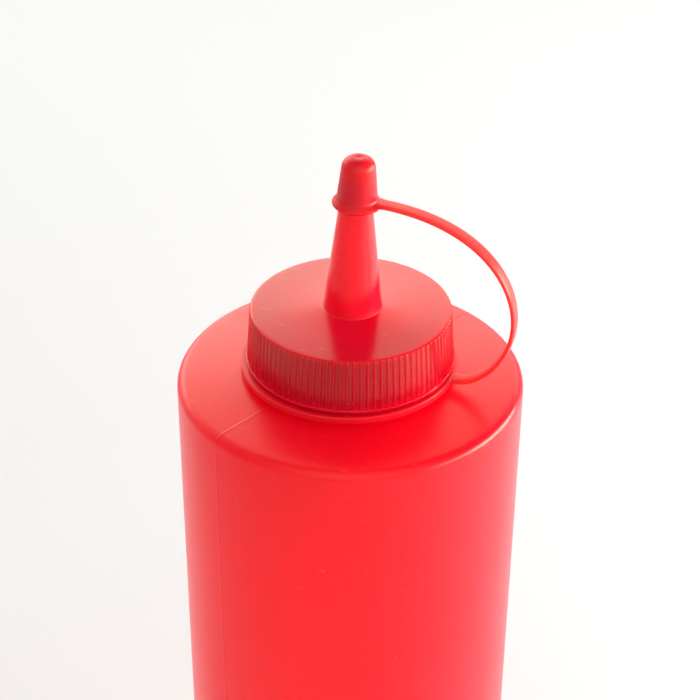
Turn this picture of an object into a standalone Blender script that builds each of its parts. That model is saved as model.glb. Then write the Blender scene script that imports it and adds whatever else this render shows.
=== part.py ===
"""Squeeze bottle for sauce: a round soft plastic bottle, a ribbed screw lid with a tall
nozzle, and a tip cap that hangs on the lid by a curved strap and a loose collar ring.

Metres, +Z up. The origin is the centre of the base. The strap's loop stands in the XZ plane.
"""

import math

import bmesh
import bpy
from mathutils import Matrix, Vector

MM = 0.001
SMOOTH_LIMIT = math.radians(40.0)

# Bottle
BODY_RADIUS = 35.0 * MM
SIDE_HEIGHT = 189.0 * MM
BASE_EDGE_RADIUS = 4.0 * MM
SHOULDER_EDGE_RADIUS = 2.1 * MM
SHOULDER_SLOPE = math.radians(4.5)
NECK_RADIUS = 18.2 * MM
NECK_TOP = SIDE_HEIGHT + 15.0 * MM
NECK_EDGE = 0.6 * MM
BODY_SEGMENTS = 72
BODY_ARC_STEPS = 5

# Screw lid
FIT_GAP = 0.35 * MM
LID_BOTTOM = SIDE_HEIGHT + 5.8 * MM
LID_RIM_TOP = SIDE_HEIGHT + 17.19 * MM
LIP_RADIUS = 20.95 * MM
LIP_HEIGHT = 0.8 * MM
LIP_EDGE = 0.25 * MM
RIM_RADIUS = 20.1 * MM
RIM_EDGE_RADIUS = 0.6 * MM
RIM_ARC_STEPS = 3
RIB_COUNT = 96
RIB_DEPTH = 0.3 * MM
RIB_TOP_RADIUS = 20.0 * MM
RIB_BOTTOM_RADIUS = 20.8 * MM
# Where, in rib pitches from the middle of its groove, a rib has its groove and its crest edges.
RIB_STATIONS = (-0.29, 0.29, 0.41, 0.59)
DOME_RISE = 0.55 * MM
# The top is flat at the rim and rises in a hollow curve towards the nozzle.
DOME_POWER = 2.2
# How far from the rim to the nozzle's foot the dome has its rings.
DOME_SHARES = (0.4, 0.6, 0.8)

# Nozzle, which leans a little towards the strap
NOZZLE_BASE_RADIUS = 5.85 * MM
NOZZLE_FILLET = 0.5 * MM
NOZZLE_ARC_STEPS = 3
NOZZLE_TOP = SIDE_HEIGHT + 45.5 * MM
NOZZLE_TAPER = 0.1172
NOZZLE_BASE_SHIFT = 0.31 * MM
NOZZLE_LEAN = math.radians(1.3)

# Tip cap
CAP_BOTTOM = SIDE_HEIGHT + 40.15 * MM
CAP_TOP = SIDE_HEIGHT + 50.4 * MM
CAP_TOP_RADIUS = 3.3 * MM
CAP_WALL_BASE_RADIUS = 4.15 * MM
CAP_EDGE_RADIUS = 2.3 * MM
CAP_FLANGE_RADIUS = 4.8 * MM
CAP_FLANGE_HEIGHT = 1.1 * MM
CAP_FLANGE_ARC_END_DEG = 45.0
CAP_FILLET = 1.2 * MM
CAP_FILLET_START_DEG = 225.0
CAP_DIMPLE_RADIUS = 1.0 * MM
CAP_DIMPLE_DEPTH = 0.3 * MM
# The dimple's rings, from its edge inwards, as shares of its radius.
CAP_DIMPLE_SHARES = (1.0, 0.6, 0.25)
CAP_LEAN = math.radians(2.0)
CAP_SHIFT = 1.0 * MM
CAP_CLEARANCE = 0.52 * MM
CAP_SEGMENTS = 48
CAP_ARC_STEPS = 4
CAP_FILLET_STEPS = 3

# Collar ring, loose on the neck and pulled a little away from the strap
COLLAR_MIDDLE = SIDE_HEIGHT + 4.35 * MM
COLLAR_THICKNESS = 1.2 * MM
COLLAR_RADIUS = 21.8 * MM
COLLAR_HOLE_RADIUS = 19.2 * MM
COLLAR_EDGE = 0.15 * MM
COLLAR_SHIFT = -0.3 * MM
COLLAR_TILT = math.radians(0.8)
COLLAR_SEGMENTS = 96

# Strap, an oval band whose middle line is two Bezier arcs, given as (x, height over the side)
STRAP_WIDTH = 3.1 * MM
STRAP_THICKNESS = 0.92 * MM
# Its section is a superellipse, between an ellipse (2) and a rectangle.
STRAP_SECTION_POWER = 2.5
STRAP_SECTION_POINTS = 12
STRAP_CAP_END = (4.5 * MM, 41.2 * MM)
STRAP_OUTERMOST = (33.1 * MM, 19.87 * MM)
STRAP_COLLAR_END = (20.8 * MM, 5.0 * MM)
STRAP_CAP_REACH = 20.3 * MM
STRAP_UPPER_REACH = 9.85 * MM
STRAP_LOWER_REACH = 9.3 * MM
STRAP_COLLAR_REACH = 5.1 * MM
STRAP_COLLAR_DIP = math.radians(14.0)
STRAP_ARC_STEPS = 22
STRAP_FLARE = 0.2
STRAP_FLARE_LENGTH = 1.2 * MM


def plastic(name, color, roughness):
    """One moulded plastic as a Principled BSDF."""
    material = bpy.data.materials.new(name)
    material.use_nodes = True
    shader = material.node_tree.nodes["Principled BSDF"]
    shader.inputs["Base Color"].default_value = (*color, 1.0)
    shader.inputs["Roughness"].default_value = roughness
    shader.inputs["Metallic"].default_value = 0.0
    return material


def bottle_plastic():
    return plastic("bottle_red", (0.78, 0.010, 0.026), 0.22)


def lid_plastic():
    return plastic("lid_red", (0.66, 0.010, 0.022), 0.2)


def tether_plastic():
    return plastic("tip_cap_red", (0.58, 0.008, 0.018), 0.28)


def arc_points(center_r, center_z, radius, start_deg, end_deg, steps):
    """Points (r, z) on an arc; 0 degrees points outwards and 90 degrees up."""
    points = []
    for step in range(steps + 1):
        angle = math.radians(start_deg + (end_deg - start_deg) * step / steps)
        points.append((center_r + radius * math.cos(angle), center_z + radius * math.sin(angle)))
    return points


def add_ring(bm, radius, height, segments, shift=0.0):
    """A ring of points round the Z axis, moved along X by shift."""
    ring = []
    for index in range(segments):
        angle = 2.0 * math.pi * index / segments
        ring.append(bm.verts.new((shift + radius * math.cos(angle), radius * math.sin(angle), height)))
    return ring


def join_rings(bm, first, second):
    """Quads between two rings with equally many points."""
    count = len(first)
    for index in range(count):
        after = (index + 1) % count
        bm.faces.new((first[index], first[after], second[after], second[index]))


def loft(bm, rings, closed=False):
    """Join rings one after another, and cap both ends unless the loft closes on itself."""
    for first, second in zip(rings, rings[1:]):
        join_rings(bm, first, second)
    if closed:
        join_rings(bm, rings[-1], rings[0])
    else:
        bm.faces.new(rings[0])
        bm.faces.new(rings[-1])


def finish_mesh(bm, name, material):
    """Turn a bmesh into an object with outward normals and smooth shading on its round faces."""
    bmesh.ops.recalc_face_normals(bm, faces=bm.faces)
    mesh = bpy.data.meshes.new(name)
    bm.to_mesh(mesh)
    bm.free()
    mesh.shade_smooth()
    mesh.set_sharp_from_angle(angle=SMOOTH_LIMIT)
    mesh.materials.append(material)
    part = bpy.data.objects.new(name, mesh)
    bpy.context.scene.collection.objects.link(part)
    return part


def turned(name, profile, segments, material):
    """A solid of revolution round Z from (r, z) points that start and end off the axis."""
    bm = bmesh.new()
    rings = [add_ring(bm, radius, height, segments) for radius, height in profile]
    loft(bm, rings)
    return finish_mesh(bm, name, material)


def shoulder_height(radius):
    """Height of the sloping shoulder at a radius."""
    slope_start_r = BODY_RADIUS - SHOULDER_EDGE_RADIUS * (1.0 - math.sin(SHOULDER_SLOPE))
    slope_start_z = SIDE_HEIGHT + SHOULDER_EDGE_RADIUS * math.cos(SHOULDER_SLOPE)
    return slope_start_z + (slope_start_r - radius) * math.tan(SHOULDER_SLOPE)


def bottle():
    """Body with a rounded base edge, a straight side, a low sloping shoulder and a neck."""
    base_center = BODY_RADIUS - BASE_EDGE_RADIUS
    bend_center = BODY_RADIUS - SHOULDER_EDGE_RADIUS
    bend_end = 90.0 - math.degrees(SHOULDER_SLOPE)
    profile = arc_points(base_center, BASE_EDGE_RADIUS, BASE_EDGE_RADIUS, -90.0, 0.0, BODY_ARC_STEPS)
    profile += arc_points(bend_center, SIDE_HEIGHT, SHOULDER_EDGE_RADIUS, 0.0, bend_end, BODY_ARC_STEPS)
    profile.append((NECK_RADIUS, shoulder_height(NECK_RADIUS)))
    profile.append((NECK_RADIUS, NECK_TOP - NECK_EDGE))
    profile.append((NECK_RADIUS - NECK_EDGE, NECK_TOP))
    return turned("bottle", profile, BODY_SEGMENTS, bottle_plastic())


def add_rib_ring(bm, crest_radius, height):
    """The ribbed outline: each pitch has a flat groove and a flat crest."""
    root_radius = crest_radius - RIB_DEPTH
    radii = (root_radius, root_radius, crest_radius, crest_radius)
    ring = []
    for rib in range(RIB_COUNT):
        for station, radius in zip(RIB_STATIONS, radii):
            angle = 2.0 * math.pi * (rib + station) / RIB_COUNT
            ring.append(bm.verts.new((radius * math.cos(angle), radius * math.sin(angle), height)))
    return ring


def join_to_ribs(bm, circle, rib_ring):
    """Flat faces between a plain ring and a ribbed one, one face for each rib."""
    points = len(RIB_STATIONS)
    for rib in range(RIB_COUNT):
        after = (rib + 1) % RIB_COUNT
        edge = [rib_ring[rib * points + offset] for offset in range(points)]
        edge.append(rib_ring[after * points])
        bm.faces.new([circle[rib], *edge, circle[after]])


def nozzle_shift(height):
    """Sideways offset of the leaning nozzle's axis at a height."""
    return NOZZLE_BASE_SHIFT + math.tan(NOZZLE_LEAN) * (height - LID_RIM_TOP - DOME_RISE)


def nozzle_radius(height):
    return NOZZLE_BASE_RADIUS - NOZZLE_TAPER * (height - LID_RIM_TOP - DOME_RISE - NOZZLE_FILLET)


def lid_rings(bm):
    """Plain rings from the rim band's lower edge over the dome to the nozzle's end."""
    rim_center = RIM_RADIUS - RIM_EDGE_RADIUS
    rim_bottom = LID_RIM_TOP - RIM_EDGE_RADIUS
    rim_arc = arc_points(rim_center, rim_bottom, RIM_EDGE_RADIUS, 0.0, 90.0, RIM_ARC_STEPS)
    rings = [add_ring(bm, radius, height, RIB_COUNT) for radius, height in rim_arc]
    foot_radius = NOZZLE_BASE_RADIUS + NOZZLE_FILLET
    for share in DOME_SHARES:
        radius = rim_center + (foot_radius - rim_center) * share
        height = LID_RIM_TOP + DOME_RISE * share ** DOME_POWER
        rings.append(add_ring(bm, radius, height, RIB_COUNT, NOZZLE_BASE_SHIFT * share))
    fillet_height = LID_RIM_TOP + DOME_RISE + NOZZLE_FILLET
    fillet_end = 180.0 + math.degrees(math.atan(NOZZLE_TAPER))
    nozzle = arc_points(foot_radius, fillet_height, NOZZLE_FILLET, 270.0, fillet_end, NOZZLE_ARC_STEPS)
    nozzle.append((nozzle_radius(NOZZLE_TOP), NOZZLE_TOP))
    for radius, height in nozzle:
        rings.append(add_ring(bm, radius, height, RIB_COUNT, nozzle_shift(height)))
    return rings


def lid():
    """Screw lid: smooth lip, ribbed skirt, rounded rim, low dome, nozzle and neck recess."""
    bm = bmesh.new()
    recess_radius = NECK_RADIUS + FIT_GAP
    recess_top = NECK_TOP + FIT_GAP
    rib_bottom = LID_BOTTOM + LIP_HEIGHT
    rib_top = LID_RIM_TOP - RIM_EDGE_RADIUS
    lower = [
        (recess_radius, recess_top),
        (recess_radius, LID_BOTTOM),
        (LIP_RADIUS - LIP_EDGE, LID_BOTTOM),
        (LIP_RADIUS, LID_BOTTOM + LIP_EDGE),
        (LIP_RADIUS, rib_bottom),
    ]
    lower_rings = [add_ring(bm, radius, height, RIB_COUNT) for radius, height in lower]
    for first, second in zip(lower_rings, lower_rings[1:]):
        join_rings(bm, first, second)
    bm.faces.new(lower_rings[0])
    rib_low = add_rib_ring(bm, RIB_BOTTOM_RADIUS, rib_bottom)
    rib_high = add_rib_ring(bm, RIB_TOP_RADIUS, rib_top)
    join_to_ribs(bm, lower_rings[-1], rib_low)
    join_rings(bm, rib_low, rib_high)
    upper_rings = lid_rings(bm)
    join_to_ribs(bm, upper_rings[0], rib_high)
    for first, second in zip(upper_rings, upper_rings[1:]):
        join_rings(bm, first, second)
    bm.faces.new(upper_rings[-1])
    return finish_mesh(bm, "lid", lid_plastic())


def cap_wall_radius(height):
    """Outer radius of the tapered cap wall at a height over the cap's bottom."""
    wall_length = CAP_TOP - CAP_BOTTOM - CAP_EDGE_RADIUS
    return CAP_WALL_BASE_RADIUS + (CAP_TOP_RADIUS - CAP_WALL_BASE_RADIUS) * height / wall_length


def cap_shell():
    """Tip cap with a flange, a dimple in its top and a socket for the nozzle's end."""
    length = CAP_TOP - CAP_BOTTOM
    bead = CAP_FLANGE_HEIGHT / 2.0
    fillet_height = CAP_FLANGE_HEIGHT + CAP_FILLET
    fillet_center = cap_wall_radius(fillet_height) + CAP_FILLET
    top_center = CAP_TOP_RADIUS - CAP_EDGE_RADIUS
    top_bend_height = length - CAP_EDGE_RADIUS
    socket_depth = NOZZLE_TOP - CAP_BOTTOM + CAP_CLEARANCE
    socket_mouth = nozzle_radius(CAP_BOTTOM) + CAP_CLEARANCE
    socket_end = nozzle_radius(NOZZLE_TOP) + CAP_CLEARANCE
    profile = [(socket_end, socket_depth), (socket_mouth, 0.0)]
    profile += arc_points(
        CAP_FLANGE_RADIUS - bead, bead, bead, -90.0, CAP_FLANGE_ARC_END_DEG, CAP_ARC_STEPS
    )
    profile += arc_points(
        fillet_center, fillet_height, CAP_FILLET, CAP_FILLET_START_DEG, 180.0, CAP_FILLET_STEPS
    )
    profile += arc_points(top_center, top_bend_height, CAP_EDGE_RADIUS, 0.0, 90.0, CAP_ARC_STEPS)
    for share in CAP_DIMPLE_SHARES:
        depth = CAP_DIMPLE_DEPTH * (1.0 - share ** 2)
        profile.append((CAP_DIMPLE_RADIUS * share, length - depth))
    shell = turned("cap_shell", profile, CAP_SEGMENTS, tether_plastic())
    shell.data.transform(Matrix.Rotation(CAP_LEAN, 4, "Y"))
    shell.data.transform(Matrix.Translation((CAP_SHIFT, 0.0, CAP_BOTTOM)))
    return shell


def collar_ring():
    """Flat loose ring round the neck under the lid, lifted a little on the strap's side."""
    half = COLLAR_THICKNESS / 2.0
    profile = [
        (COLLAR_HOLE_RADIUS, -half),
        (COLLAR_RADIUS - COLLAR_EDGE, -half),
        (COLLAR_RADIUS, COLLAR_EDGE - half),
        (COLLAR_RADIUS, half - COLLAR_EDGE),
        (COLLAR_RADIUS - COLLAR_EDGE, half),
        (COLLAR_HOLE_RADIUS, half),
    ]
    bm = bmesh.new()
    rings = [add_ring(bm, radius, height, COLLAR_SEGMENTS) for radius, height in profile]
    loft(bm, rings, closed=True)
    ring = finish_mesh(bm, "collar_ring", tether_plastic())
    ring.data.transform(Matrix.Rotation(-COLLAR_TILT, 4, "Y"))
    ring.data.transform(Matrix.Translation((COLLAR_SHIFT, 0.0, COLLAR_MIDDLE)))
    return ring


def bezier(points, steps):
    """Points on a cubic Bezier arc in the XZ plane."""
    start, start_handle, end_handle, end = [Vector(point) for point in points]
    curve = []
    for step in range(steps + 1):
        t = step / steps
        u = 1.0 - t
        from_start = u ** 3 * start + 3 * u * u * t * start_handle
        to_end = 3 * u * t * t * end_handle + t ** 3 * end
        curve.append(from_start + to_end)
    return curve


def strap_line():
    """Middle line of the strap as (x, z) from the tip cap round to the collar ring."""
    cap_end = Vector(STRAP_CAP_END)
    outermost = Vector(STRAP_OUTERMOST)
    collar_end = Vector(STRAP_COLLAR_END)
    dip = Vector((math.cos(STRAP_COLLAR_DIP), -math.sin(STRAP_COLLAR_DIP)))
    upper = bezier(
        (
            cap_end,
            cap_end + Vector((STRAP_CAP_REACH, 0.0)),
            outermost + Vector((0.0, STRAP_UPPER_REACH)),
            outermost,
        ),
        STRAP_ARC_STEPS,
    )
    lower = bezier(
        (
            outermost,
            outermost - Vector((0.0, STRAP_LOWER_REACH)),
            collar_end + STRAP_COLLAR_REACH * dip,
            collar_end,
        ),
        STRAP_ARC_STEPS,
    )
    line = upper + lower[1:]
    return [Vector((point.x, point.y + SIDE_HEIGHT)) for point in line]


def strap_section():
    """Oval section, as (across, outwards) offsets."""
    corners = []
    for index in range(STRAP_SECTION_POINTS):
        angle = 2.0 * math.pi * index / STRAP_SECTION_POINTS
        across = math.copysign(abs(math.cos(angle)) ** (2.0 / STRAP_SECTION_POWER), math.cos(angle))
        outwards = math.copysign(abs(math.sin(angle)) ** (2.0 / STRAP_SECTION_POWER), math.sin(angle))
        corners.append((0.5 * STRAP_WIDTH * across, 0.5 * STRAP_THICKNESS * outwards))
    return corners


def strap():
    """Oval band swept along its middle line, a little wider where it joins cap and ring."""
    line = strap_line()
    section = strap_section()
    travelled = [0.0]
    for before, after in zip(line, line[1:]):
        travelled.append(travelled[-1] + (after - before).length)
    length = travelled[-1]
    cap_root = CAP_SHIFT + CAP_FLANGE_RADIUS - STRAP_CAP_END[0]
    collar_root = COLLAR_SHIFT + COLLAR_RADIUS - STRAP_COLLAR_END[0]
    bm = bmesh.new()
    rings = []
    for index, point in enumerate(line):
        before = line[max(index - 1, 0)]
        after = line[min(index + 1, len(line) - 1)]
        along = (after - before).normalized()
        outward = Vector((-along.y, along.x))
        from_root = min(travelled[index] - cap_root, length - travelled[index] - collar_root)
        flare = 1.0 + STRAP_FLARE * max(0.0, 1.0 - max(from_root, 0.0) / STRAP_FLARE_LENGTH) ** 2
        ring = []
        for across, out in section:
            place = point + outward * out
            ring.append(bm.verts.new((place.x, across * flare, place.y)))
        rings.append(ring)
    loft(bm, rings)
    return finish_mesh(bm, "strap", tether_plastic())


def tip_cap():
    """Tip cap, strap and collar ring: one moulding, joined by a Boolean union."""
    cap = cap_shell()
    additions = [strap(), collar_ring()]
    for addition in additions:
        joint = cap.modifiers.new("join_" + addition.name, "BOOLEAN")
        joint.operation = "UNION"
        joint.solver = "EXACT"
        joint.object = addition
    bpy.context.view_layer.update()
    evaluated = cap.evaluated_get(bpy.context.evaluated_depsgraph_get())
    mesh = bpy.data.meshes.new_from_object(evaluated)
    mesh.name = "tip_cap"
    mesh.materials.clear()
    mesh.materials.append(tether_plastic())
    mesh.shade_smooth()
    mesh.set_sharp_from_angle(angle=SMOOTH_LIMIT)
    for piece in [cap, *additions]:
        bpy.data.objects.remove(piece, do_unlink=True)
    joined = bpy.data.objects.new("tip_cap", mesh)
    bpy.context.scene.collection.objects.link(joined)
    return joined


def main():
    for old in list(bpy.data.objects):
        bpy.data.objects.remove(old, do_unlink=True)
    bottle()
    lid()
    tip_cap()


main()
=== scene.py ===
"""Looks of the squeeze bottle: the bottle, its screw lid with the nozzle, and the tip cap on
its strap and collar ring, as fine meshes with procedural red plastics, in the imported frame.

Metres, +Z up, origin at the centre of the base. The strap's loop stands in the XZ plane.
"""

import math

import bmesh
import bpy
import numpy as np
from mathutils import Matrix, Vector

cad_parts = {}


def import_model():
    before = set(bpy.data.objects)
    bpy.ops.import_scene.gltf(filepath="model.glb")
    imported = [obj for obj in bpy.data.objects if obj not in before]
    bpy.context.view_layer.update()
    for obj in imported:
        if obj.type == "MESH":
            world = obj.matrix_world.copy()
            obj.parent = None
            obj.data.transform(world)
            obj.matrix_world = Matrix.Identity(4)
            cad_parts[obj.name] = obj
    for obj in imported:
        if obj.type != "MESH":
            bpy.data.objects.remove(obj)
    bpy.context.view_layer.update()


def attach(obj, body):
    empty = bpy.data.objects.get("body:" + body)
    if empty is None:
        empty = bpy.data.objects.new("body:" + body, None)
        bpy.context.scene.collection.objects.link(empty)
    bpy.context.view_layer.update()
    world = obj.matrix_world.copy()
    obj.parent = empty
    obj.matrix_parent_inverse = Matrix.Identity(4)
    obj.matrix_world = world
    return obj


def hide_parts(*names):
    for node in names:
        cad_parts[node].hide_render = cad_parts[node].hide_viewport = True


MM = 0.001
SMOOTH_LIMIT = math.radians(38.0)

# Bottle
BODY_RADIUS = 35.0 * MM
SIDE_HEIGHT = 189.0 * MM
BASE_EDGE_RADIUS = 4.0 * MM
SHOULDER_EDGE_RADIUS = 2.1 * MM
SHOULDER_SLOPE = math.radians(4.5)
NECK_RADIUS = 18.2 * MM
NECK_FILLET = 0.8 * MM
NECK_TOP = SIDE_HEIGHT + 15.0 * MM
NECK_EDGE = 0.6 * MM
BODY_SEGMENTS = 288
BASE_ARC_STEPS = 12
SIDE_RINGS = 24
BEND_ARC_STEPS = 12
SHOULDER_RINGS = 8
NECK_FILLET_STEPS = 5
NECK_EDGE_STEPS = 4

# The two halves of the blow mould meet in a fine ridge, down the side and over the shoulder.
# Across it the points are finer: SEAM_STATIONS and the width they clear are in half widths
SEAM_ANGLES = (math.radians(61.0), math.radians(241.0))
SEAM_HEIGHT = 0.05 * MM
SEAM_HALF_WIDTH = 0.16 * MM
SEAM_STATIONS = (-2.4, -1.6, -1.0, -0.5, 0.0, 0.5, 1.0, 1.6, 2.4)
SEAM_CLEAR = 3.0
SEAM_TOP = SIDE_HEIGHT + 4.0 * MM

# Screw lid
FIT_GAP = 0.35 * MM
LID_BOTTOM = SIDE_HEIGHT + 5.8 * MM
LID_RIM_TOP = SIDE_HEIGHT + 17.19 * MM
LIP_RADIUS = 20.95 * MM
LIP_HEIGHT = 0.8 * MM
LIP_EDGE = 0.3 * MM
LIP_ARC_STEPS = 4
LIP_TOP_EDGE = 0.12 * MM
LIP_TOP_ARC_STEPS = 3
RIM_RADIUS = 20.1 * MM
RIM_EDGE_RADIUS = 0.6 * MM
RIB_COUNT = 96
RIB_DEPTH = 0.3 * MM
RIB_BOTTOM_RADIUS = 20.8 * MM
# In shares of the pitch: how far from a rib's middle its flank ends, and how wide the flank is
RIB_REACH = 0.27
RIB_FLANK = 0.18
RIB_POINTS = 12
RIB_SKIRT_RINGS = 7
RIM_ARC_STEPS = 14
RIB_END_STEPS = 8
DOME_CROWN = 0.22 * MM
DOME_RISE = 0.55 * MM
DOME_POWER = 3.0
DOME_RINGS = 20
LID_SEGMENTS = 288

# Nozzle, which leans a little towards the strap
NOZZLE_BASE_RADIUS = 5.85 * MM
NOZZLE_FILLET = 0.25 * MM
NOZZLE_TOP = SIDE_HEIGHT + 45.5 * MM
NOZZLE_TAPER = 0.1172
NOZZLE_BASE_SHIFT = 0.31 * MM
NOZZLE_LEAN = math.radians(1.3)
NOZZLE_RINGS = 8
NOZZLE_ARC_STEPS = 7

# Tip cap
CAP_BOTTOM = SIDE_HEIGHT + 40.15 * MM
CAP_TOP = SIDE_HEIGHT + 50.4 * MM
CAP_TOP_RADIUS = 3.3 * MM
CAP_WALL_BASE_RADIUS = 4.15 * MM
CAP_EDGE_RADIUS = 2.3 * MM
CAP_FLANGE_RADIUS = 4.8 * MM
CAP_FLANGE_HEIGHT = 1.1 * MM
CAP_FLANGE_ARC_END_DEG = 45.0
CAP_FILLET = 1.2 * MM
CAP_FILLET_START_DEG = 225.0
CAP_DIMPLE_RADIUS = 1.0 * MM
CAP_DIMPLE_DEPTH = 0.15 * MM
CAP_DIMPLE_RINGS = 10
CAP_LEAN = math.radians(2.0)
CAP_SHIFT = 1.0 * MM
CAP_CLEARANCE = 0.52 * MM
CAP_SEGMENTS = 144
CAP_FLANGE_STEPS = 12
CAP_FILLET_STEPS = 8
CAP_WALL_RINGS = 4
CAP_TOP_STEPS = 14

# Collar ring
COLLAR_MIDDLE = SIDE_HEIGHT + 4.65 * MM
COLLAR_THICKNESS = 1.5 * MM
COLLAR_RADIUS = 21.8 * MM
COLLAR_HOLE_RADIUS = 19.2 * MM
COLLAR_EDGE = 0.3 * MM
COLLAR_SHIFT = -0.3 * MM
COLLAR_TILT = math.radians(0.4)
COLLAR_SEGMENTS = 288
COLLAR_ARC_STEPS = 5

# Strap, on the line of the solids, whose points are (x, height over the side);
# its section is a superellipse, between an ellipse (2) and a rectangle
STRAP_WIDTH = 3.1 * MM
STRAP_THICKNESS = 0.92 * MM
STRAP_SECTION_POWER = 3.6
STRAP_SECTION_POINTS = 40
STRAP_CAP_END = (4.5 * MM, 41.2 * MM)
STRAP_OUTERMOST = (33.1 * MM, 19.87 * MM)
STRAP_COLLAR_END = (20.8 * MM, 5.0 * MM)
STRAP_CAP_REACH = 20.3 * MM
STRAP_UPPER_REACH = 9.85 * MM
STRAP_LOWER_REACH = 9.3 * MM
STRAP_COLLAR_REACH = 5.1 * MM
STRAP_COLLAR_DIP = math.radians(14.0)
STRAP_ARC_STEPS = 72
STRAP_FLARE = 0.2
STRAP_FLARE_LENGTH = 1.2 * MM

# Camera: the azimuth turns round Z from -Y, and the photograph's frame is 700 pixels wide
FRAME_PIXELS = 700.0
SENSOR_WIDTH_MM = 36.0
FOCAL_PIXELS = 1805.3
VIEW_AZIMUTH = math.radians(18.5)
VIEW_PITCH = math.radians(33.0)
VIEW_ROLL = math.radians(-0.482)
VIEW_DISTANCE = 362.5 * MM
VIEW_TARGET_HEIGHT = SIDE_HEIGHT + 6.952 * MM
VIEW_TARGET_SHIFT = 0.111 * MM
VIEW_CLIP_START = 10.0 * MM

# Painted glow: paler colours of the lid and the tip cap where their wall is thin, painted in
# for the light that shines through it, and where they fade in, in millimetres: the lid's from
# the axis, over its bottom and over its rim; the strap's over the side and from the axis, with
# the loop outside the lid apart
LID_PAINTED_GLOW_RED = (0.93, 0.002, 0.028)
PAINTED_GLOW_LID_RADII = (6.0, 27.0)
PAINTED_GLOW_LIP_HEIGHTS = (2.0, 0.5)
PAINTED_GLOW_LIP_SHARE = 0.6
PAINTED_GLOW_TOP_HEIGHTS = (-0.8, -0.1)
STRAP_PAINTED_GLOW_RED = (0.90, 0.038, 0.040)
PAINTED_GLOW_STRAP_HEIGHTS = (8.0, 14.0)
PAINTED_GLOW_STRAP_RADII = (6.0, 9.0)
PAINTED_GLOW_LOOP_RADII = (21.5, 24.0)

# Scratches are paler and duller than the plastic; each set has a turn and a stretch
SCRATCH_PALE = (1.0, 0.16, 0.13)
SCRATCH_SHARE = 0.4
SCRATCH_ROUGHNESS = 0.04
SCRATCH_PEAK = (0.76, 0.80)
SCRATCH_SETS = (
    ((0.3, 0.9, 0.2), (0.12, 2.4, 2.4)),
    ((1.1, 0.2, 1.4), (0.16, 2.0, 2.0)),
)

# Nibs of dust: cells in a millimetre, share of the cells without one, and its radii in cells
SPECK_CELLS = 0.20
SPECK_RARITY = 0.97
SPECK_RADII = (0.030, 0.018)

# Relief of the surface: the orange peel with the specks on it, and the slow waves
PEEL_SHARE = 0.2
SPECK_SHARE = 0.6
PEEL_STRENGTH = 0.25
PEEL_HEIGHT = 0.03 * MM
WAVE_STRENGTH = 0.4
WAVE_HEIGHT = 0.10 * MM
ROUGHNESS_SPREAD = 0.03

# Tint of the plastic's reflections, and how far red, green and blue light travel in it
GLOSS_TINT = (1.0, 0.97, 0.62, 1.0)
SCATTER_RADIUS = (1.0, 0.12, 0.08)

# The light is a little warm, and the floor's white a little cool
LIGHT_COLOR = (1.0, 0.97, 0.93)
FLOOR_WHITES = ((0.71, 0.73, 0.745), (0.73, 0.75, 0.765))
FLOOR_SIZE = 12.0


# ---------------------------------------------------------------- geometry helpers


def arc_points(center_r, center_z, radius, start_deg, end_deg, steps):
    """Points (r, z) on an arc; 0 degrees points outwards and 90 degrees up."""
    points = []
    for step in range(steps + 1):
        angle = math.radians(start_deg + (end_deg - start_deg) * step / steps)
        points.append((center_r + radius * math.cos(angle), center_z + radius * math.sin(angle)))
    return points


def line_points(start, end, steps):
    """Points from start to end, without the start itself."""
    points = []
    for step in range(1, steps + 1):
        share = step / steps
        points.append(tuple(a + (b - a) * share for a, b in zip(start, end)))
    return points


def even_angles(count):
    return np.arange(count) * (2.0 * math.pi / count)


def ring(radius, height, angles, shift=0.0):
    """Points of a ring round Z, moved along X by shift; radius may vary with the angle."""
    points = np.empty((len(angles), 3))
    points[:, 0] = shift + radius * np.cos(angles)
    points[:, 1] = radius * np.sin(angles)
    points[:, 2] = height
    return points


def loft_mesh(name, rings, material, closed=False):
    """One piece through rings; a ring may have a whole multiple of its neighbour's points.

    closed joins the last ring to the first; otherwise both ends get a flat face.
    """
    bm = bmesh.new()
    layers = [[bm.verts.new(point) for point in points] for points in rings]
    pairs = list(zip(layers, layers[1:]))
    if closed:
        pairs.append((layers[-1], layers[0]))
    for first, second in pairs:
        stitch(bm, first, second)
    if not closed:
        bm.faces.new(layers[0])
        bm.faces.new(layers[-1])
    bmesh.ops.recalc_face_normals(bm, faces=bm.faces)
    mesh = bpy.data.meshes.new(name)
    bm.to_mesh(mesh)
    bm.free()
    return mesh_object(name, mesh, material)


def mesh_object(name, mesh, material):
    """Piece of one material, smooth except at its sharp edges."""
    mesh.shade_smooth()
    mesh.set_sharp_from_angle(angle=SMOOTH_LIMIT)
    mesh.materials.clear()
    mesh.materials.append(material)
    piece = bpy.data.objects.new(name, mesh)
    bpy.context.scene.collection.objects.link(piece)
    return piece


def stitch(bm, first, second):
    """Faces between two rings of points, of which one may be finer than the other."""
    coarse, fine = (first, second) if len(first) <= len(second) else (second, first)
    ratio = len(fine) // len(coarse)
    count = len(coarse)
    for index in range(count):
        after = (index + 1) % count
        edge = [fine[(index * ratio + step) % len(fine)] for step in range(ratio + 1)]
        bm.faces.new([coarse[index], *edge, coarse[after]])


# ---------------------------------------------------------------- materials


def socket(node, name, value):
    node.inputs[name].default_value = value


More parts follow.
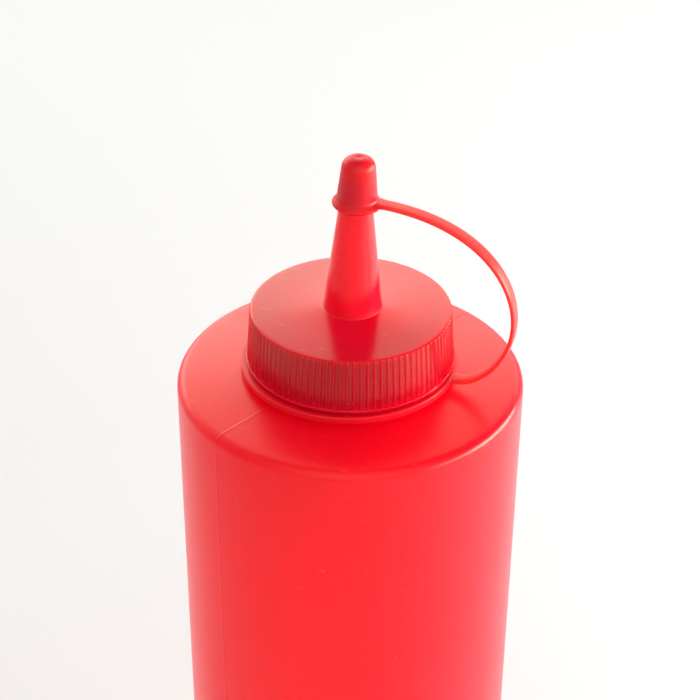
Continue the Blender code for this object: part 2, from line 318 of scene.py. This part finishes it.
class Nodes:
    """Small helper to add shader nodes and link them."""

    def __init__(self, tree):
        self.tree = tree

    def add(self, kind, **settings):
        node = self.tree.nodes.new(kind)
        for key, value in settings.items():
            setattr(node, key, value)
        return node

    def link(self, source, target):
        self.tree.links.new(source, target)

    def math(self, operation, first, second=None, clamp=False):
        node = self.add("ShaderNodeMath", operation=operation, use_clamp=clamp)
        for index, value in enumerate((first, second)):
            if value is None:
                continue
            if isinstance(value, (int, float)):
                node.inputs[index].default_value = value
            else:
                self.link(value, node.inputs[index])
        return node.outputs[0]

    def noise(self, vector, scale, detail=2.0, roughness=0.5):
        node = self.add("ShaderNodeTexNoise")
        self.link(vector, node.inputs["Vector"])
        socket(node, "Scale", scale)
        socket(node, "Detail", detail)
        socket(node, "Roughness", roughness)
        return node.outputs["Fac"]

    def ramp(self, value, low, high):
        """0 below low, 1 above high, straight between."""
        node = self.add("ShaderNodeMapRange", clamp=True)
        self.link(value, node.inputs["Value"])
        socket(node, "From Min", low)
        socket(node, "From Max", high)
        return node.outputs["Result"]

    def stretched(self, vector, scale, rotation=(0.0, 0.0, 0.0)):
        """Coordinates scaled, and then turned."""
        node = self.add("ShaderNodeMapping")
        self.link(vector, node.inputs["Vector"])
        socket(node, "Scale", scale)
        socket(node, "Rotation", rotation)
        return node.outputs["Vector"]

    def from_axis(self, in_mm):
        """Distance from the Z axis."""
        level = self.stretched(in_mm, (1.0, 1.0, 0.0))
        length = self.add("ShaderNodeVectorMath", operation="LENGTH")
        self.link(level, length.inputs[0])
        return length.outputs["Value"]

    def height(self, in_mm):
        split = self.add("ShaderNodeSeparateXYZ")
        self.link(in_mm, split.inputs["Vector"])
        return split.outputs["Z"]

    def mix_color(self, factor, first, second):
        """Mix of two colours, whose sockets on the node are inputs 6 and 7 and output 2."""
        node = self.add("ShaderNodeMix", data_type="RGBA")
        for index, value in ((0, factor), (6, first), (7, second)):
            if isinstance(value, tuple):
                node.inputs[index].default_value = (*value, 1.0)
            else:
                self.link(value, node.inputs[index])
        return node.outputs[2]

    def bump(self, height, strength, distance, normal=None):
        node = self.add("ShaderNodeBump")
        socket(node, "Strength", strength)
        socket(node, "Distance", distance)
        self.link(height, node.inputs["Height"])
        if normal is not None:
            self.link(normal, node.inputs["Normal"])
        return node.outputs["Normal"]


def near_axis(nodes, in_mm):
    """1 at the nozzle and just round it, 0 over the rest of the lid."""
    return nodes.math("SUBTRACT", 1.0, nodes.ramp(nodes.from_axis(in_mm), *PAINTED_GLOW_LID_RADII))


def height_ramp(nodes, in_mm, level, limits):
    """0 to 1 between two heights, which are given over a level."""
    low, high = [level / MM + limit for limit in limits]
    return nodes.ramp(nodes.height(in_mm), low, high)


def on_strap(nodes, in_mm):
    """1 on the strap, where its glow is painted; 0 on the tip cap and on the collar ring."""
    from_axis = nodes.from_axis(in_mm)
    over_lid = height_ramp(nodes, in_mm, SIDE_HEIGHT, PAINTED_GLOW_STRAP_HEIGHTS)
    upper = nodes.math("MULTIPLY", over_lid, nodes.ramp(from_axis, *PAINTED_GLOW_STRAP_RADII))
    return nodes.math("MAXIMUM", upper, nodes.ramp(from_axis, *PAINTED_GLOW_LOOP_RADII))


def painted_glow_on_lid(nodes, in_mm):
    """1 round the nozzle and at the lip, where the lid's wall is thin and its glow is painted."""
    lip = height_ramp(nodes, in_mm, LID_BOTTOM, PAINTED_GLOW_LIP_HEIGHTS)
    top = height_ramp(nodes, in_mm, LID_RIM_TOP, PAINTED_GLOW_TOP_HEIGHTS)
    near = nodes.math("MULTIPLY", near_axis(nodes, in_mm), top)
    return nodes.math("MAXIMUM", near, nodes.math("MULTIPLY", lip, PAINTED_GLOW_LIP_SHARE))


def scratches(nodes, in_mm):
    """1 on fine handling scratches, long and thin, in two directions."""
    total = None
    for rotation, stretch in SCRATCH_SETS:
        along = nodes.stretched(in_mm, stretch, rotation)
        peak = nodes.ramp(nodes.noise(along, scale=1.0, detail=1.0, roughness=0.4), *SCRATCH_PEAK)
        total = peak if total is None else nodes.math("MAXIMUM", total, peak)
    return total


def specks(nodes, in_mm):
    """1 on tiny nibs of dust in the surface, in a few of the cells only."""
    cells = nodes.add("ShaderNodeTexVoronoi", feature="F1")
    nodes.link(in_mm, cells.inputs["Vector"])
    socket(cells, "Scale", SPECK_CELLS)
    near = nodes.ramp(cells.outputs["Distance"], *SPECK_RADII)
    split = nodes.add("ShaderNodeSeparateColor")
    nodes.link(cells.outputs["Color"], split.inputs["Color"])
    chosen = nodes.math("GREATER_THAN", split.outputs["Red"], SPECK_RARITY)
    return nodes.math("MULTIPLY", near, chosen)


def moulded_plastic(
    name, color, shade, roughness, specular, scatter, scatter_mm, streaks, thin=None
):
    """Glossy, slightly see-through red plastic, mixed from color and a darker shade of it.

    Sizes inside are in millimetres. streaks says how fine the upright streaks are. thin is a
    painted glow: a paler colour and a function that gives 1 where the wall is thin, where the
    colour is painted in for the light that comes through.
    """
    material = bpy.data.materials.new(name)
    material.use_nodes = True
    tree = material.node_tree
    nodes = Nodes(tree)
    shader = tree.nodes["Principled BSDF"]

    place = nodes.add("ShaderNodeTexCoord").outputs["Object"]
    in_mm = nodes.stretched(place, (1000.0, 1000.0, 1000.0))

    # Slow change of colour, as the pigment and the wall's thickness vary.
    cloud = nodes.noise(in_mm, scale=0.045, detail=3.0, roughness=0.55)
    upright = nodes.stretched(in_mm, (1.0, 1.0, 0.05))
    flow = nodes.noise(upright, scale=streaks, detail=2.0, roughness=0.5)
    tone = nodes.math("ADD", nodes.math("MULTIPLY", cloud, 0.7), nodes.math("MULTIPLY", flow, 0.3))
    base = nodes.mix_color(nodes.ramp(tone, 0.35, 0.65), shade, color)
    # Painted glow: a paler colour where the wall is thin, for the light that shines through it.
    if thin is not None:
        glow_color, glow_share = thin
        base = nodes.mix_color(glow_share(nodes, in_mm), base, glow_color)

    speck = specks(nodes, in_mm)
    scratch = scratches(nodes, in_mm)
    base = nodes.mix_color(nodes.math("MULTIPLY", scratch, SCRATCH_SHARE), base, SCRATCH_PALE)

    # Roughness: uneven gloss, duller along the scratches.
    patch = nodes.noise(in_mm, scale=0.12, detail=1.0, roughness=0.4)
    spread = nodes.math("MULTIPLY", nodes.math("SUBTRACT", patch, 0.5), ROUGHNESS_SPREAD)
    uneven = nodes.math("ADD", spread, roughness)
    gloss = nodes.math("ADD", uneven, nodes.math("MULTIPLY", scratch, SCRATCH_ROUGHNESS), clamp=True)
    nodes.link(gloss, shader.inputs["Roughness"])

    # Bump: a soft orange peel from the mould with the specks, on slow waves.
    peel = nodes.math("MULTIPLY", nodes.noise(in_mm, scale=0.9), PEEL_SHARE)
    height = nodes.math("ADD", peel, nodes.math("MULTIPLY", speck, SPECK_SHARE))
    normal = nodes.bump(height, PEEL_STRENGTH, PEEL_HEIGHT)
    normal = nodes.bump(patch, WAVE_STRENGTH, WAVE_HEIGHT, normal)
    nodes.link(normal, shader.inputs["Normal"])

    nodes.link(base, shader.inputs["Base Color"])
    socket(shader, "Metallic", 0.0)
    socket(shader, "IOR", 1.5)
    socket(shader, "Specular IOR Level", specular)
    socket(shader, "Specular Tint", GLOSS_TINT)
    socket(shader, "Subsurface Weight", scatter)
    socket(shader, "Subsurface Radius", SCATTER_RADIUS)
    socket(shader, "Subsurface Scale", scatter_mm * MM)
    return material


def bottle_plastic():
    return moulded_plastic(
        "bottle_red",
        color=(0.97, 0.002, 0.022),
        shade=(0.94, 0.001, 0.019),
        roughness=0.29,
        specular=0.36,
        scatter=1.0,
        scatter_mm=50.0,
        streaks=0.6,
    )


def lid_plastic():
    return moulded_plastic(
        "lid_red",
        color=(0.55, 0.002, 0.021),
        shade=(0.50, 0.001, 0.018),
        roughness=0.17,
        specular=0.42,
        scatter=1.0,
        scatter_mm=4.0,
        streaks=0.3,
        # Painted glow round the nozzle, over the lid's top near it and at the lip.
        thin=(LID_PAINTED_GLOW_RED, painted_glow_on_lid),
    )


def tip_cap_plastic():
    return moulded_plastic(
        "tip_cap_red",
        color=(0.79, 0.002, 0.023),
        shade=(0.73, 0.001, 0.020),
        roughness=0.38,
        specular=0.34,
        scatter=0.9,
        scatter_mm=1.5,
        streaks=0.5,
        # Painted glow on the strap.
        thin=(STRAP_PAINTED_GLOW_RED, on_strap),
    )


def floor_paper():
    """Matt white sheet with a faint grain."""
    material = bpy.data.materials.new("floor_white")
    material.use_nodes = True
    nodes = Nodes(material.node_tree)
    shader = material.node_tree.nodes["Principled BSDF"]
    place = nodes.add("ShaderNodeTexCoord").outputs["Object"]
    grain = nodes.noise(place, scale=900.0, detail=3.0, roughness=0.6)
    nodes.link(nodes.mix_color(grain, *FLOOR_WHITES), shader.inputs["Base Color"])
    socket(shader, "Roughness", 0.9)
    socket(shader, "Specular IOR Level", 0.1)
    return material


# ---------------------------------------------------------------- bottle


def shoulder_height(radius):
    """Height of the sloping shoulder at a radius."""
    slope_start_r = BODY_RADIUS - SHOULDER_EDGE_RADIUS * (1.0 - math.sin(SHOULDER_SLOPE))
    slope_start_z = SIDE_HEIGHT + SHOULDER_EDGE_RADIUS * math.cos(SHOULDER_SLOPE)
    return slope_start_z + (slope_start_r - radius) * math.tan(SHOULDER_SLOPE)


def bottle_profile():
    """Outline (r, z) of the bottle from its base to the top of its neck."""
    bend_end = 90.0 - math.degrees(SHOULDER_SLOPE)
    base_center = BODY_RADIUS - BASE_EDGE_RADIUS
    bend_center = BODY_RADIUS - SHOULDER_EDGE_RADIUS
    profile = arc_points(
        base_center, BASE_EDGE_RADIUS, BASE_EDGE_RADIUS, -90.0, 0.0, BASE_ARC_STEPS
    )
    profile += line_points(profile[-1], (BODY_RADIUS, SIDE_HEIGHT), SIDE_RINGS)
    profile += arc_points(
        bend_center, SIDE_HEIGHT, SHOULDER_EDGE_RADIUS, 0.0, bend_end, BEND_ARC_STEPS
    )[1:]
    fillet_r = NECK_RADIUS + NECK_FILLET
    fillet_end = (fillet_r, shoulder_height(fillet_r))
    profile += line_points(profile[-1], fillet_end, SHOULDER_RINGS)
    profile += arc_points(
        fillet_r, fillet_end[1] + NECK_FILLET, NECK_FILLET, 270.0, 180.0, NECK_FILLET_STEPS
    )[1:]
    edge_center = (NECK_RADIUS - NECK_EDGE, NECK_TOP - NECK_EDGE)
    profile.append((NECK_RADIUS, edge_center[1]))
    profile += arc_points(*edge_center, NECK_EDGE, 0.0, 90.0, NECK_EDGE_STEPS)[1:]
    return profile


def seam_angles():
    """Even angles round the body, with closer ones in their place at the mould seams."""
    step = 2.0 * math.pi / BODY_SEGMENTS
    reach = SEAM_CLEAR * SEAM_HALF_WIDTH / BODY_RADIUS
    angles = []
    for angle in even_angles(BODY_SEGMENTS) + 0.5 * step:
        if all(abs(angle - seam) > reach for seam in SEAM_ANGLES):
            angles.append(angle)
    for seam in SEAM_ANGLES:
        angles += [seam + station * SEAM_HALF_WIDTH / BODY_RADIUS for station in SEAM_STATIONS]
    return np.array(sorted(angles))


def outward_normals(profile):
    """Unit normals (r, z) of an outline that runs with its outer side to the right."""
    points = np.array(profile)
    tangent = np.gradient(points, axis=0)
    tangent /= np.linalg.norm(tangent, axis=1)[:, None]
    return np.stack([tangent[:, 1], -tangent[:, 0]], axis=1)


def make_bottle(material):
    """Bottle with its neck, and with the ridge of its parting line."""
    profile = bottle_profile()
    normals = outward_normals(profile)
    angles = seam_angles()
    ridge = np.zeros(len(angles))
    for seam in SEAM_ANGLES:
        across = (angles - seam) * BODY_RADIUS / SEAM_HALF_WIDTH
        ridge += np.exp(-across ** 2)
    rings = []
    for (radius, height), (normal_r, normal_z) in zip(profile, normals):
        lift = SEAM_HEIGHT * ridge * (BASE_EDGE_RADIUS < height < SEAM_TOP)
        points = ring(radius + lift * normal_r, height, angles)
        points[:, 2] += lift * normal_z
        rings.append(points)
    return loft_mesh("bottle_moulding", rings, material)


# ---------------------------------------------------------------- lid


def nozzle_shift(height):
    """Sideways offset of the leaning nozzle's axis at a height."""
    return NOZZLE_BASE_SHIFT + math.tan(NOZZLE_LEAN) * (height - LID_RIM_TOP - DOME_RISE)


def nozzle_radius(height):
    """Radius of the tapering nozzle at a height."""
    return NOZZLE_BASE_RADIUS - NOZZLE_TAPER * (height - LID_RIM_TOP - DOME_RISE - NOZZLE_FILLET)


def rib_wave(angles):
    """1 on the crest of each rounded rib, 0 in the groove between two ribs."""
    pitch = (angles * RIB_COUNT / (2.0 * math.pi)) % 1.0
    from_crest = np.abs(pitch - 0.5)
    rise = np.clip((RIB_REACH - from_crest) / RIB_FLANK, 0.0, 1.0)
    return rise * rise * (3.0 - 2.0 * rise)


def rib_rings():
    """Rings of the ribbed skirt from the lip up, whose grooves run out in the rim's rounding."""
    angles = even_angles(RIB_COUNT * RIB_POINTS)
    wave = rib_wave(angles)
    bottom = LID_BOTTOM + LIP_HEIGHT
    top = LID_RIM_TOP - RIM_EDGE_RADIUS
    rings = []
    for height in np.linspace(bottom, top, RIB_SKIRT_RINGS):
        share = (height - bottom) / (top - bottom)
        crest = RIB_BOTTOM_RADIUS + (RIM_RADIUS - RIB_BOTTOM_RADIUS) * share
        rings.append(ring(crest - RIB_DEPTH * (1.0 - wave), height, angles))
    rim_center = RIM_RADIUS - RIM_EDGE_RADIUS
    rim = arc_points(rim_center, top, RIM_EDGE_RADIUS, 0.0, 90.0, RIM_ARC_STEPS)[1:]
    for step, (radius, height) in enumerate(rim, start=1):
        depth = RIB_DEPTH * max(0.0, 1.0 - (step / RIB_END_STEPS) ** 2)
        rings.append(ring(radius - depth * (1.0 - wave), height, angles))
    return rings


def dome_rings(angles):
    """Rings of the lid's top from the rim in to the nozzle's foot, hollow with a crowned rim."""
    rim_center = RIM_RADIUS - RIM_EDGE_RADIUS
    foot_radius = NOZZLE_BASE_RADIUS + NOZZLE_FILLET
    rings = []
    for step in range(1, DOME_RINGS):
        share = step / DOME_RINGS
        radius = rim_center + (foot_radius - rim_center) * share
        crown = DOME_CROWN * (1.0 - (1.0 - share) ** 2)
        hollow = (DOME_RISE - DOME_CROWN) * share ** DOME_POWER
        height = LID_RIM_TOP + crown + hollow
        rings.append(ring(radius, height, angles, NOZZLE_BASE_SHIFT * share))
    return rings


def nozzle_rings(angles):
    """Rings of the nozzle from the rounding at its foot to its flat end."""
    foot_radius = NOZZLE_BASE_RADIUS + NOZZLE_FILLET
    fillet_height = LID_RIM_TOP + DOME_RISE + NOZZLE_FILLET
    fillet_end = 180.0 + math.degrees(math.atan(NOZZLE_TAPER))
    profile = arc_points(
        foot_radius, fillet_height, NOZZLE_FILLET, 270.0, fillet_end, NOZZLE_ARC_STEPS
    )
    profile += line_points(profile[-1], (nozzle_radius(NOZZLE_TOP), NOZZLE_TOP), NOZZLE_RINGS)
    return [ring(radius, height, angles, nozzle_shift(height)) for radius, height in profile]


def make_lid(material):
    """Screw lid round the recess for the neck, with the nozzle that is moulded on it."""
    plain = even_angles(LID_SEGMENTS)
    fine = even_angles(RIB_COUNT * RIB_POINTS)
    recess_radius = NECK_RADIUS + FIT_GAP
    rings = [
        ring(recess_radius, NECK_TOP + FIT_GAP, plain),
        ring(recess_radius, LID_BOTTOM, plain),
    ]
    lower = arc_points(
        LIP_RADIUS - LIP_EDGE, LID_BOTTOM + LIP_EDGE, LIP_EDGE, -90.0, 0.0, LIP_ARC_STEPS
    )
    upper_center = (LIP_RADIUS - LIP_TOP_EDGE, LID_BOTTOM + LIP_HEIGHT - LIP_TOP_EDGE)
    upper = arc_points(*upper_center, LIP_TOP_EDGE, 0.0, 90.0, LIP_TOP_ARC_STEPS)
    rings += [ring(radius, height, plain) for radius, height in lower]
    rings += [ring(radius, height, fine) for radius, height in upper]
    rings += rib_rings() + dome_rings(plain) + nozzle_rings(plain)
    return loft_mesh("lid_moulding", rings, material)


# ---------------------------------------------------------------- tip cap, strap and ring


def cap_wall_radius(height):
    """Outer radius of the tapered cap wall at a height over the cap's bottom."""
    wall_length = CAP_TOP - CAP_BOTTOM - CAP_EDGE_RADIUS
    return CAP_WALL_BASE_RADIUS + (CAP_TOP_RADIUS - CAP_WALL_BASE_RADIUS) * height / wall_length


def make_cap_shell(material):
    """Tip cap with a flange, a dimple in its top and a socket for the nozzle's end."""
    length = CAP_TOP - CAP_BOTTOM
    bead = CAP_FLANGE_HEIGHT / 2.0
    fillet_height = CAP_FLANGE_HEIGHT + CAP_FILLET
    fillet_center = cap_wall_radius(fillet_height) + CAP_FILLET
    top_center = CAP_TOP_RADIUS - CAP_EDGE_RADIUS
    top_bend_height = length - CAP_EDGE_RADIUS
    socket_depth = NOZZLE_TOP - CAP_BOTTOM + CAP_CLEARANCE
    socket_mouth = nozzle_radius(CAP_BOTTOM) + CAP_CLEARANCE
    socket_end = nozzle_radius(NOZZLE_TOP) + CAP_CLEARANCE
    profile = [(socket_end, socket_depth), (socket_mouth, 0.0)]
    profile += arc_points(
        CAP_FLANGE_RADIUS - bead, bead, bead, -90.0, CAP_FLANGE_ARC_END_DEG, CAP_FLANGE_STEPS
    )
    profile += arc_points(
        fillet_center, fillet_height, CAP_FILLET, CAP_FILLET_START_DEG, 180.0, CAP_FILLET_STEPS
    )
    profile += line_points(profile[-1], (CAP_TOP_RADIUS, top_bend_height), CAP_WALL_RINGS)[:-1]
    profile += arc_points(top_center, top_bend_height, CAP_EDGE_RADIUS, 0.0, 90.0, CAP_TOP_STEPS)
    for step in range(CAP_DIMPLE_RINGS):
        share = 1.0 - step / CAP_DIMPLE_RINGS
        depth = CAP_DIMPLE_DEPTH * (0.5 + 0.5 * math.cos(math.pi * share))
        profile.append((CAP_DIMPLE_RADIUS * share, length - depth))
    angles = even_angles(CAP_SEGMENTS)
    rings = [ring(radius, height, angles) for radius, height in profile]
    shell = loft_mesh("cap_shell", rings, material)
    shell.data.transform(Matrix.Rotation(CAP_LEAN, 4, "Y"))
    shell.data.transform(Matrix.Translation((CAP_SHIFT, 0.0, CAP_BOTTOM)))
    return shell


def make_collar_ring(material):
    """Flat ring with rounded outer edges, lifted a little on the strap's side."""
    half = COLLAR_THICKNESS / 2.0
    outer = COLLAR_RADIUS - COLLAR_EDGE
    profile = [(COLLAR_HOLE_RADIUS, -half)]
    profile += arc_points(outer, COLLAR_EDGE - half, COLLAR_EDGE, -90.0, 0.0, COLLAR_ARC_STEPS)
    profile += arc_points(outer, half - COLLAR_EDGE, COLLAR_EDGE, 0.0, 90.0, COLLAR_ARC_STEPS)
    profile += [(COLLAR_HOLE_RADIUS, half)]
    angles = even_angles(COLLAR_SEGMENTS)
    rings = [ring(radius, height, angles) for radius, height in profile]
    collar = loft_mesh("collar_ring", rings, material, closed=True)
    collar.data.transform(Matrix.Rotation(-COLLAR_TILT, 4, "Y"))
    collar.data.transform(Matrix.Translation((COLLAR_SHIFT, 0.0, COLLAR_MIDDLE)))
    return collar


def bezier(points, steps):
    """Points on a cubic Bezier arc in the XZ plane."""
    start, start_handle, end_handle, end = [Vector(point) for point in points]
    curve = []
    for step in range(steps + 1):
        t = step / steps
        u = 1.0 - t
        from_start = u ** 3 * start + 3 * u * u * t * start_handle
        to_end = 3 * u * t * t * end_handle + t ** 3 * end
        curve.append(from_start + to_end)
    return curve


def strap_line():
    """Middle line of the strap as (x, z) from the tip cap round to the collar ring."""
    cap_end = Vector(STRAP_CAP_END)
    outermost = Vector(STRAP_OUTERMOST)
    collar_end = Vector(STRAP_COLLAR_END)
    dip = Vector((math.cos(STRAP_COLLAR_DIP), -math.sin(STRAP_COLLAR_DIP)))
    upper = bezier(
        (
            cap_end,
            cap_end + Vector((STRAP_CAP_REACH, 0.0)),
            outermost + Vector((0.0, STRAP_UPPER_REACH)),
            outermost,
        ),
        STRAP_ARC_STEPS,
    )
    lower = bezier(
        (
            outermost,
            outermost - Vector((0.0, STRAP_LOWER_REACH)),
            collar_end + STRAP_COLLAR_REACH * dip,
            collar_end,
        ),
        STRAP_ARC_STEPS,
    )
    line = upper + lower[1:]
    return [Vector((point.x, point.y + SIDE_HEIGHT)) for point in line]


def signed_power(value, power):
    return math.copysign(abs(value) ** power, value)


def strap_section():
    """Superellipse section, as (across, outwards) offsets."""
    power = 2.0 / STRAP_SECTION_POWER
    corners = []
    for index in range(STRAP_SECTION_POINTS):
        angle = 2.0 * math.pi * index / STRAP_SECTION_POINTS
        across = signed_power(math.cos(angle), power)
        outwards = signed_power(math.sin(angle), power)
        corners.append((0.5 * STRAP_WIDTH * across, 0.5 * STRAP_THICKNESS * outwards))
    return corners


def make_strap(material):
    """Band swept along its middle line, a little wider where it joins cap and ring."""
    line = strap_line()
    section = strap_section()
    travelled = [0.0]
    for before, after in zip(line, line[1:]):
        travelled.append(travelled[-1] + (after - before).length)
    length = travelled[-1]
    cap_root = CAP_SHIFT + CAP_FLANGE_RADIUS - STRAP_CAP_END[0]
    collar_root = COLLAR_SHIFT + COLLAR_RADIUS - STRAP_COLLAR_END[0]
    rings = []
    for index, point in enumerate(line):
        before = line[max(index - 1, 0)]
        after = line[min(index + 1, len(line) - 1)]
        along = (after - before).normalized()
        outward = Vector((-along.y, along.x))
        from_root = min(travelled[index] - cap_root, length - travelled[index] - collar_root)
        flare = 1.0 + STRAP_FLARE * max(0.0, 1.0 - max(from_root, 0.0) / STRAP_FLARE_LENGTH) ** 2
        points = []
        for across, out in section:
            place = point + outward * out
            points.append((place.x, across * flare, place.y))
        rings.append(points)
    return loft_mesh("strap", rings, material)


def make_tip_cap(material):
    """Tip cap, strap and collar ring: one moulding, joined by a Boolean union."""
    cap = make_cap_shell(material)
    additions = [make_strap(material), make_collar_ring(material)]
    for addition in additions:
        joint = cap.modifiers.new("join_" + addition.name, "BOOLEAN")
        joint.operation = "UNION"
        joint.solver = "EXACT"
        joint.object = addition
    bpy.context.view_layer.update()
    evaluated = cap.evaluated_get(bpy.context.evaluated_depsgraph_get())
    mesh = bpy.data.meshes.new_from_object(evaluated)
    mesh.name = "tip_cap_moulding"
    for piece in [cap, *additions]:
        bpy.data.objects.remove(piece, do_unlink=True)
    return mesh_object("tip_cap_moulding", mesh, material)


# ---------------------------------------------------------------- stage, light and camera


def turned_by(point, angle):
    """A point turned round Z."""
    return Matrix.Rotation(angle, 3, "Z") @ Vector(point)


def make_floor():
    """Large plain sheet under the bottle."""
    mesh = bpy.data.meshes.new("floor")
    half = FLOOR_SIZE / 2.0
    corners = [(-half, -half, 0.0), (half, -half, 0.0), (half, half, 0.0), (-half, half, 0.0)]
    mesh.from_pydata(corners, [], [(0, 1, 2, 3)])
    mesh.materials.append(floor_paper())
    floor = bpy.data.objects.new("floor", mesh)
    bpy.context.scene.collection.objects.link(floor)


def direction(azimuth_deg, elevation_deg):
    """Unit vector; azimuth is counted from the camera's side towards its right."""
    azimuth = math.radians(azimuth_deg)
    elevation = math.radians(elevation_deg)
    level = math.cos(elevation)
    return turned_by(
        (math.sin(azimuth) * level, -math.cos(azimuth) * level, math.sin(elevation)), VIEW_AZIMUTH
    )


def softbox(name, azimuth_deg, elevation_deg, distance, size, power):
    """Area light aimed at the bottle's shoulder."""
    target = Vector((0.0, 0.0, SIDE_HEIGHT))
    light = bpy.data.lights.new(name, "AREA")
    light.shape = "RECTANGLE"
    light.size = size[0]
    light.size_y = size[1]
    light.energy = power
    light.color = LIGHT_COLOR
    lamp = bpy.data.objects.new(name, light)
    lamp.location = target + direction(azimuth_deg, elevation_deg) * distance
    lamp.rotation_euler = (lamp.location - target).to_track_quat("Z", "Y").to_euler()
    lamp.visible_camera = False
    bpy.context.scene.collection.objects.link(lamp)


def make_world(glows):
    """Soft surroundings: each glow is (azimuth, elevation, strength) and falls off to its sides."""
    world = bpy.data.worlds.new("studio")
    bpy.context.scene.world = world
    world.use_nodes = True
    nodes = Nodes(world.node_tree)
    toward = nodes.add("ShaderNodeTexCoord").outputs["Generated"]
    total = None
    for azimuth_deg, elevation_deg, strength in glows:
        axis = nodes.add("ShaderNodeVectorMath", operation="DOT_PRODUCT")
        nodes.link(toward, axis.inputs[0])
        axis.inputs[1].default_value = direction(azimuth_deg, elevation_deg)
        facing = nodes.math("MAXIMUM", axis.outputs["Value"], 0.0)
        glow = nodes.math("MULTIPLY", nodes.math("POWER", facing, 2.0), strength)
        total = glow if total is None else nodes.math("ADD", total, glow)
    background = world.node_tree.nodes["Background"]
    background.inputs["Color"].default_value = (*LIGHT_COLOR, 1.0)
    nodes.link(total, background.inputs["Strength"])


def make_lights():
    """Soft light from behind, from above in front and from all round, and two strips at the right."""
    make_world(((180.0, 10.0, 0.8), (-140.0, 8.0, 1.4), (0.0, 20.0, 1.35)))
    # Name, azimuth, elevation, distance, size and power
    softbox("back_light", 180.0, 25.0, 1.1, (2.0, 0.35), 4.4)
    softbox("back_left_light", -145.0, 22.0, 1.0, (0.9, 0.4), 1.4)
    softbox("right_light", 98.0, 5.0, 0.9, (0.7, 0.2), 10.5)
    softbox("front_right_light", 72.0, 6.0, 0.9, (0.7, 0.2), 4.4)
    softbox("front_light", 0.0, 55.0, 1.2, (1.8, 1.4), 1.4)


def make_camera():
    """Camera at the photograph's angle, from its azimuth, pitch, roll and distance."""
    forward = Vector((0.0, math.cos(VIEW_PITCH), -math.sin(VIEW_PITCH)))
    right = Vector((1.0, 0.0, 0.0))
    down = Vector((0.0, -math.sin(VIEW_PITCH), -math.cos(VIEW_PITCH)))
    rolled_right = math.cos(VIEW_ROLL) * right + math.sin(VIEW_ROLL) * down
    rolled_down = math.cos(VIEW_ROLL) * down - math.sin(VIEW_ROLL) * right
    target = Vector((0.0, 0.0, VIEW_TARGET_HEIGHT))
    place = target - VIEW_DISTANCE * forward - VIEW_TARGET_SHIFT * rolled_right
    turn = Matrix.Rotation(VIEW_AZIMUTH, 4, "Z")
    axes = Matrix((rolled_right, -rolled_down, -forward)).transposed().to_4x4()
    data = bpy.data.cameras.new("photo_camera")
    data.sensor_width = SENSOR_WIDTH_MM
    data.sensor_fit = "HORIZONTAL"
    data.lens = FOCAL_PIXELS / FRAME_PIXELS * SENSOR_WIDTH_MM
    data.clip_start = VIEW_CLIP_START
    camera = bpy.data.objects.new("photo_camera", data)
    camera.matrix_world = turn @ Matrix.Translation(place) @ axes
    bpy.context.scene.collection.objects.link(camera)
    bpy.context.scene.camera = camera


def main():
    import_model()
    scene = bpy.context.scene
    scene.view_settings.view_transform = "Standard"
    scene.view_settings.look = "None"

    pieces = (
        (make_bottle(bottle_plastic()), "bottle"),
        (make_lid(lid_plastic()), "lid"),
        (make_tip_cap(tip_cap_plastic()), "tip_cap"),
    )
    for piece, node in pieces:
        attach(piece, "root")
        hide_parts(node)

    make_floor()
    make_lights()
    make_camera()


main()
